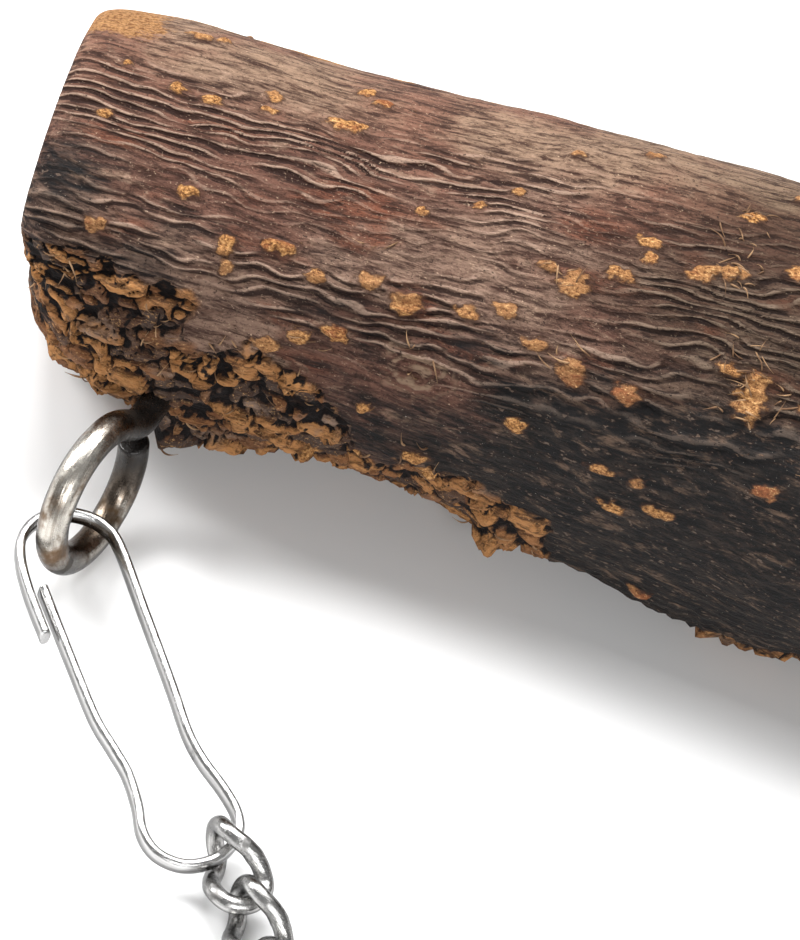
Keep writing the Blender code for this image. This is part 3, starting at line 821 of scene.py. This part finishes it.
CLIP_HALF_WIDTH = 0.7 * MM
CLIP_HALF_DEPTH = 1.4 * MM
CLIP_HOOK = -2.3 * MM
CLIP_BOW = 53.6 * MM
CLIP_HEADING = math.radians(-53.2)
CLIP_LIFT = 0.3 * MM
CLIP_KNOTS = [
    (15.6, -8.6), (8.4, -8.5), (3.4, -7.9), (0.0, -6.5), (-2.0, -3.8), (-2.5, -0.5), (-1.3, 2.9),
    (1.1, 5.3), (4.7, 6.3), (14.8, 6.0), (27.2, 5.6), (34.6, 5.2), (39.2, 5.7), (43.8, 6.9),
    (47.9, 7.4), (51.1, 6.3), (53.1, 3.2), (53.6, 0.0), (52.8, -3.0), (50.4, -5.4), (47.1, -6.1),
    (43.0, -5.3), (38.3, -5.0), (34.2, -5.6), (29.1, -6.4), (20.0, -6.5), (8.5, -6.45),
]
joint_at = {joint["child"]: Vector(joint["pos_m"]) for joint in frame["joints"]}


def smooth_path(knots, steps):
    """A line through the knots, rounded between them."""
    path = []
    for index in range(len(knots) - 1):
        before = knots[max(index - 1, 0)]
        start = knots[index]
        end = knots[index + 1]
        after = knots[min(index + 2, len(knots) - 1)]
        for step in range(steps):
            t = step / steps
            path.append(0.5 * (2 * start + (end - before) * t
                               + (2 * before - 5 * start + 4 * end - after) * t * t
                               + (3 * start - before - 3 * end + after) * t ** 3))
    path.append(knots[-1])
    return path


def clip_form(place, side, pivot):
    knots = [Vector((a * MM - pivot, -side * b * MM, 0)) for a, b in CLIP_KNOTS]
    path = smooth_path(knots, 7)
    return drawn_wire(path, [Vector((0, 0, 1))] * len(path), CLIP_HALF_WIDTH, CLIP_HALF_DEPTH, 20, place)


clip_steel = steel_finish("clip_steel", (0.30, 0.295, 0.29), (0.66, 0.655, 0.65), 0.16, 0.5, 0.12)[0]

# ======================================================================================================
# THE CHAINS
# Twisted-link chain of 2.5 mm steel wire. Each link is an oval whose two ends stand a quarter turn apart,
# closed by a butt weld on one side, so the chain lies flat and doesn't kink.
# ======================================================================================================

LINK_WIRE = 1.25 * MM
LINK_LENGTH = 12.5 * MM
LINK_BOW = 3.5 * MM
LINK_PITCH = 9.7 * MM
LINK_TWIST = math.radians(-45)
LINK_COUNT = 10
FIRST_REACH = 2.6 * MM
FIRST_ROLL = math.radians(45)
ROLL_STEP = math.radians(-10)
CHAIN_HEADING = math.radians(-55)
CHAIN_TURN = math.radians(-5)
CHAIN_HEIGHT = 4.8 * MM


def heading_vector(side, heading):
    return Vector((-side * math.cos(heading), math.sin(heading), 0))


def link_line(pivot):
    """The line of a link's wire from its pivot, and the way its flat side faces at each step."""
    straight = LINK_LENGTH / 2 - LINK_BOW
    flat = []
    for end in (1, -1):
        for step in range(21):
            angle = -math.pi / 2 + math.pi * step / 20
            flat.append(Vector((end * (straight + LINK_BOW * math.cos(angle)),
                                end * LINK_BOW * math.sin(angle), 0)))
        for step in range(1, 12):
            flat.append(Vector((end * straight * (1 - step / 6), end * LINK_BOW, 0)))
    flat.append(flat[0].copy())
    path = []
    ups = []
    for point in flat:
        share = max(-1.0, min(1.0, point.x / (straight + LINK_BOW / 2)))
        turn = Matrix.Rotation(LINK_TWIST * math.sin(share * math.pi / 2), 3, "X")
        path.append(turn @ point + Vector((pivot, 0, 0)))
        ups.append(turn @ Vector((0, 0, 1)))
    return path, ups


def link_section(run, angle, point):
    """The wire swells a little at its butt weld, and its thickness ripples slightly along and round it."""
    return 1.0 + 0.07 * math.exp(-((run - 14.2) / 0.55) ** 2) + 0.012 * math.sin(run * 1.9 + angle)


link_steel = steel_finish("link_steel", (0.20, 0.195, 0.19), (0.50, 0.495, 0.485), 0.22, 0.7, 0.3)[0]

for side, label in ((-1, "left"), (1, "right")):
    hook = joint_at[label + "_eye_clip"]
    rise = (hook.z - CHAIN_HEIGHT + CLIP_LIFT) / (CLIP_BOW - CLIP_HOOK)
    along = heading_vector(side, CLIP_HEADING) * math.sqrt(1 - rise ** 2) - Vector((0, 0, rise))
    form = clip_form(frame_of(hook, along, (0, 0, 1)), side, CLIP_HOOK)
    piece = finished(label + "_eye_snap", form, [clip_steel])
    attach(piece, label + "_eye_clip")
    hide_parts(label + "_eye_clip")

    heading = CHAIN_HEADING
    roll = FIRST_ROLL
    reach = FIRST_REACH
    for number in range(1, LINK_COUNT + 1):
        node = "%s_link_%02d" % (label, number)
        path, ups = link_line(reach)
        direction = heading_vector(side, heading)
        place = frame_of(joint_at[node], direction, (0, 0, 1)) @ Matrix.Rotation(roll, 4, "X")
        form = drawn_wire(path, ups, LINK_WIRE, LINK_WIRE, 20, place, link_section)
        piece = finished("%s_chain_%02d" % (label, number), form, [link_steel])
        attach(piece, node)
        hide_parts(node)
        heading += CHAIN_TURN
        roll += ROLL_STEP
        reach = LINK_PITCH / 2

    lie = math.asin((CHAIN_HEIGHT - CLIP_HALF_DEPTH - CLIP_LIFT) / CLIP_BOW)
    back = -direction * math.cos(lie) + Vector((0, 0, math.sin(lie)))
    place = frame_of(joint_at[label + "_cage_clip"], back, (0, 0, 1))
    piece = finished(label + "_cage_snap", clip_form(place, -side, CLIP_BOW), [clip_steel])
    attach(piece, label + "_cage_clip")
    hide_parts(label + "_cage_clip")

# ======================================================================================================
# THE FRAYED FIBRES
# Dry strands of inner bark that have sprung loose round the pores, the knot and the rotted corner.
# ======================================================================================================

# where they have sprung loose: distance from the thin end in mm, degrees round, spread in mm, how many
FRAYED_PLACES = [
    (95, 106, 3, 18), (95, 87, 3, 12), (102, 136, 4, 26), (100, 126, 3, 10), (74, 119, 3, 6),
    (78, 141, 3, 5), (48, 121, 2, 3), (41, 152, 3, 5), (58, 153, 3, 5), (20, 172, 5, 10),
    (30, 168, 5, 8), (40, 176, 5, 8), (26, 214, 4, 6), (62, 186, 6, 9), (75, 210, 5, 9),
    (8, 158, 4, 8), (3, 192, 3, 7), (12, 205, 5, 7), (118, 150, 6, 8), (165, 110, 7, 9),
    (205, 60, 8, 6), (190, 170, 9, 7), (140, 222, 8, 8), (230, 130, 8, 6),
]

# how far the strands on the underside stay above the surface that the branch lies on
STRAND_CLEARANCE = 0.3 * MM


def strand_section(length):
    """A strand is widest near its root and runs out to a point."""
    return lambda run, angle, point: 1.0 - 0.8 * smooth(0.35 * length, length, run)


def bark_surface(x, turn):
    relief = bark_relief(x, turn)[0]
    radius = wood_radius(x, turn) + relief - corner_loss(x, turn)
    return wood_axis(x) + Vector((0, math.cos(turn), math.sin(turn))) * radius


strand_dice = random.Random(23)
strands = bmesh.new()
for x_mm, degrees, spread, count in FRAYED_PLACES:
    for _ in range(count):
        x = min(max(x_mm + strand_dice.gauss(0, 0.6) * spread, 1.5), 247.0) * MM
        turn = math.radians(degrees) + strand_dice.gauss(0, 0.6) * spread * MM / mean_radius(x)
        root = bark_surface(x, turn)
        outward = Vector((0, math.cos(turn), math.sin(turn)))
        lean = strand_dice.uniform(-math.pi, math.pi)
        lengthways = (Vector((1, 0, 0)) * math.cos(lean) * 1.6
                      + outward.cross(Vector((1, 0, 0))) * math.sin(lean))
        length = strand_dice.uniform(1.0, 3.4) * MM
        lift = strand_dice.uniform(0.15, 0.65) * MM
        bend = outward.cross(lengthways).normalized() * strand_dice.uniform(-1.2, 1.2) * MM
        path = []
        for step in range(9):
            share = step / 8
            rise = -0.15 * MM + lift * math.sin(math.pi * share ** 0.8) * 1.2
            point = root + lengthways.normalized() * length * share + outward * rise + bend * share ** 2
            point.z = max(point.z, STRAND_CLEARANCE)
            path.append(point)
        thick = strand_dice.uniform(0.07, 0.14) * MM
        strand = drawn_wire(path, [outward] * len(path), thick, thick * 0.7, 6, Matrix(),
                            strand_section(length / MM))
        strand_mesh = bpy.data.meshes.new("strand")
        strand.to_mesh(strand_mesh)
        strand.free()
        strands.from_mesh(strand_mesh)
        bpy.data.meshes.remove(strand_mesh)


def strand_finish():
    """Dry bast: straw to brown in patches."""
    material, tree, shader = new_finish("bast")
    where = put(tree, "ShaderNodeTexCoord").outputs["Object"]
    patches = mottle(tree, where, 300, (1, 1, 1), 3, 0.6)
    colour = shade(tree, between(tree, patches, 0.38, 0.62), (0.130, 0.065, 0.030), (0.360, 0.215, 0.110))
    tree.links.new(colour, shader.inputs["Base Color"])
    shader.inputs["Roughness"].default_value = 0.85
    return material


frayed = finished("frayed_bast", strands, [strand_finish()])
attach(frayed, "perch")

# ======================================================================================================
# THE STUDIO
# A plain pale floor, a broad soft light overhead, a smaller one from the left, and the camera.
# ======================================================================================================

floor_form = bmesh.new()
bmesh.ops.create_grid(floor_form, x_segments=1, y_segments=1, size=4.0)
floor_material, _, floor_shader = new_finish("studio_floor")
floor_shader.inputs["Base Color"].default_value = (0.86, 0.86, 0.86, 1)
floor_shader.inputs["Roughness"].default_value = 0.9
floor = finished("studio_floor", floor_form, [floor_material])
floor.location.z = -0.5 * MM


def softbox(name, place, target, size, power):
    """A rectangular lamp at a place, turned to face its target."""
    lamp = bpy.data.lights.new(name, "AREA")
    lamp.shape = "RECTANGLE"
    lamp.size = size[0]
    lamp.size_y = size[1]
    lamp.energy = power
    holder = bpy.data.objects.new(name, lamp)
    bpy.context.scene.collection.objects.link(holder)
    holder.location = place
    holder.rotation_euler = (Vector(target) - Vector(place)).to_track_quat("-Z", "Y").to_euler()


softbox("overhead", (-0.1, 0.45, 0.9), (-0.05, 0.05, 0), (0.8, 0.5), 14)
softbox("left_key", (-0.8, 0.25, 0.6), (-0.05, 0.05, 0.02), (0.25, 0.5), 8)
softbox("front_fill", (0.3, -1.1, 0.8), (-0.05, 0.05, 0.02), (0.7, 0.5), 10)

world = bpy.data.worlds.new("studio")
bpy.context.scene.world = world
world.use_nodes = True
world.node_tree.nodes["Background"].inputs["Color"].default_value = (1.0, 1.0, 1.0, 1)
world.node_tree.nodes["Background"].inputs["Strength"].default_value = 0.30

CAMERA_ELEVATION = math.radians(50)
CAMERA_ROLL = math.radians(17)
CAMERA_DISTANCE = 0.6
VIEW_WIDTH = 110.4 * MM
SENSOR_WIDTH = 36
camera_data = bpy.data.cameras.new("camera")
camera = bpy.data.objects.new("camera", camera_data)
bpy.context.scene.collection.objects.link(camera)
look_at = Vector((-65.35 * MM, 67.92 * MM, 25.97 * MM))
back_off = Vector((0, -math.cos(CAMERA_ELEVATION), math.sin(CAMERA_ELEVATION)))
camera.location = look_at + back_off * CAMERA_DISTANCE
level_view = back_off.to_track_quat("Z", "Y").to_matrix()
camera.rotation_euler = (level_view @ Matrix.Rotation(CAMERA_ROLL, 3, "Z")).to_euler()
camera_data.sensor_fit = "HORIZONTAL"
camera_data.sensor_width = SENSOR_WIDTH
camera_data.lens = SENSOR_WIDTH * CAMERA_DISTANCE / VIEW_WIDTH
camera_data.clip_start = 0.01
bpy.context.scene.camera = camera
bpy.context.scene.view_settings.view_transform = "Standard"
